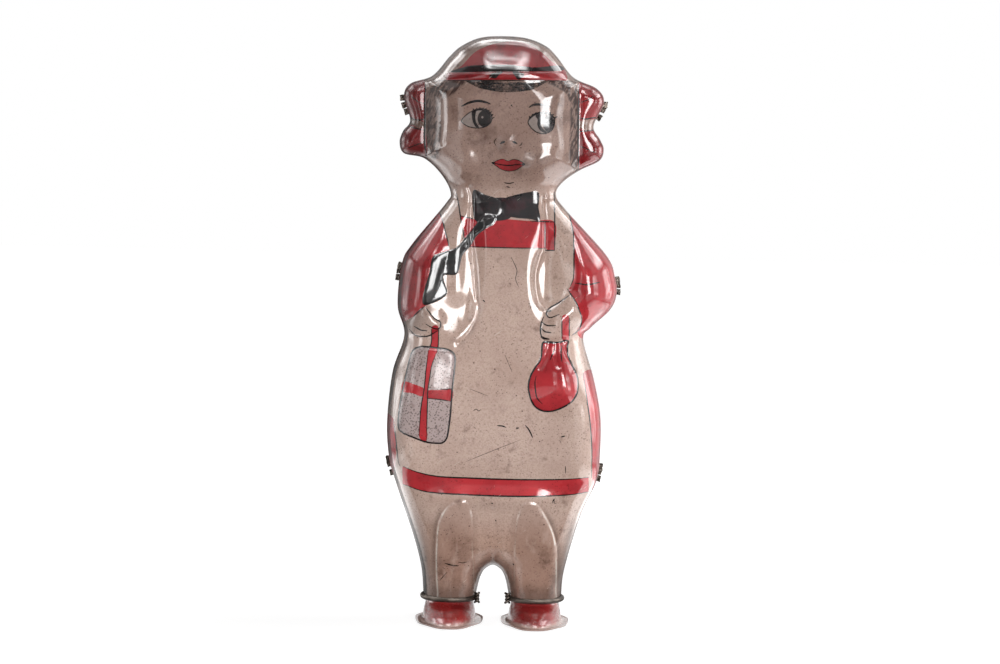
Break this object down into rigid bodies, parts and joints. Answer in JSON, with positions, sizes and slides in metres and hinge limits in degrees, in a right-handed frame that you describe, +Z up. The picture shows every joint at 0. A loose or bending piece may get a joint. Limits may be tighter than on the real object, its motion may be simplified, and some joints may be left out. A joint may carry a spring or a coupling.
{
  "type": "tin wind-up doll",
  "caption": "Stamped tinplate girl figure with tabbed seam halves, crimped shoes that swivel, and a key-wound clockwork whose off-centre weight shakes it.",
  "frame": {"origin": "middle of the doll's box at floor level, under the soles", "axes": "+Z up along the figure, the doll faces -Y, +X to the viewer's right from the front"},
  "size_m": [0.082, 0.0554, 0.203],
  "materials": {
    "printed_tin": "lithographed and varnished, glossy, worn",
    "red_tin": "red enamel, glossy",
    "bare_tin": "bare tinplate, dulled",
    "steel": "nickelled steel",
    "spring_steel": "blued spring steel",
    "wheel_brass": "stamped brass",
    "weight_iron": "raw"
  },
  "bodies": {
    "body_shell": {"front_shell": "printed_tin", "back_shell": "printed_tin", "left_ankle_ring": "bare_tin", "right_ankle_ring": "bare_tin", "motor_front_plate": "bare_tin", "motor_back_plate": "bare_tin", "lower_left_pillar": "steel", "lower_right_pillar": "steel", "upper_left_pillar": "steel", "upper_right_pillar": "steel", "key_eyelet": "wheel_brass", "mainspring": "spring_steel"},
    "left_foot": {"left_shoe": "red_tin"},
    "right_foot": {"right_shoe": "red_tin"},
    "winding": {"winding_arbor": "steel", "winding_key": "steel", "ratchet_wheel": "steel"},
    "great": {"great_wheel": "wheel_brass", "click_spring": "spring_steel", "click_rivet": "steel"},
    "second": {"second_arbor": "steel", "second_pinion": "steel", "second_wheel": "wheel_brass"},
    "third": {"third_arbor": "steel", "third_pinion": "steel", "third_wheel": "wheel_brass"},
    "vibrator": {"vibrator_arbor": "steel", "vibrator_pinion": "steel", "eccentric_weight": "weight_iron"}
  },
  "joints": [
    {"name": "key_turn", "type": "hinge", "parent": "body_shell", "child": "winding", "pos_m": [-0.00214, 0, 0.078], "axis": [0, 1, 0], "continuous": true},
    {"name": "great_wheel_turn", "type": "hinge", "parent": "body_shell", "child": "great", "pos_m": [-0.00214, 0, 0.078], "axis": [0, 1, 0], "continuous": true},
    {"name": "second_turn", "type": "hinge", "parent": "body_shell", "child": "second", "pos_m": [0.00324, 0, 0.09809], "axis": [0, 1, 0], "continuous": true},
    {"name": "third_turn", "type": "hinge", "parent": "body_shell", "child": "third", "pos_m": [-0.00711, 0, 0.11042], "axis": [0, 1, 0], "continuous": true},
    {"name": "vibrator_spin", "type": "hinge", "parent": "body_shell", "child": "vibrator", "pos_m": [0.00138, 0, 0.11891], "axis": [0, 1, 0], "continuous": true},
    {"name": "left_foot_swivel", "type": "hinge", "parent": "body_shell", "child": "left_foot", "pos_m": [-0.01704, -0.00645, 0], "axis": [0, 0, 1], "range_deg": [-12, 12]},
    {"name": "right_foot_swivel", "type": "hinge", "parent": "body_shell", "child": "right_foot", "pos_m": [0.01276, -0.00645, 0], "axis": [0, 0, 1], "range_deg": [-12, 12]}
  ],
  "couplings": [
    {"joint": "third_turn", "follows": "vibrator_spin", "ratio": -0.33333},
    {"joint": "second_turn", "follows": "vibrator_spin", "ratio": 0.092593},
    {"joint": "great_wheel_turn", "follows": "vibrator_spin", "ratio": -0.022046}
  ]
}
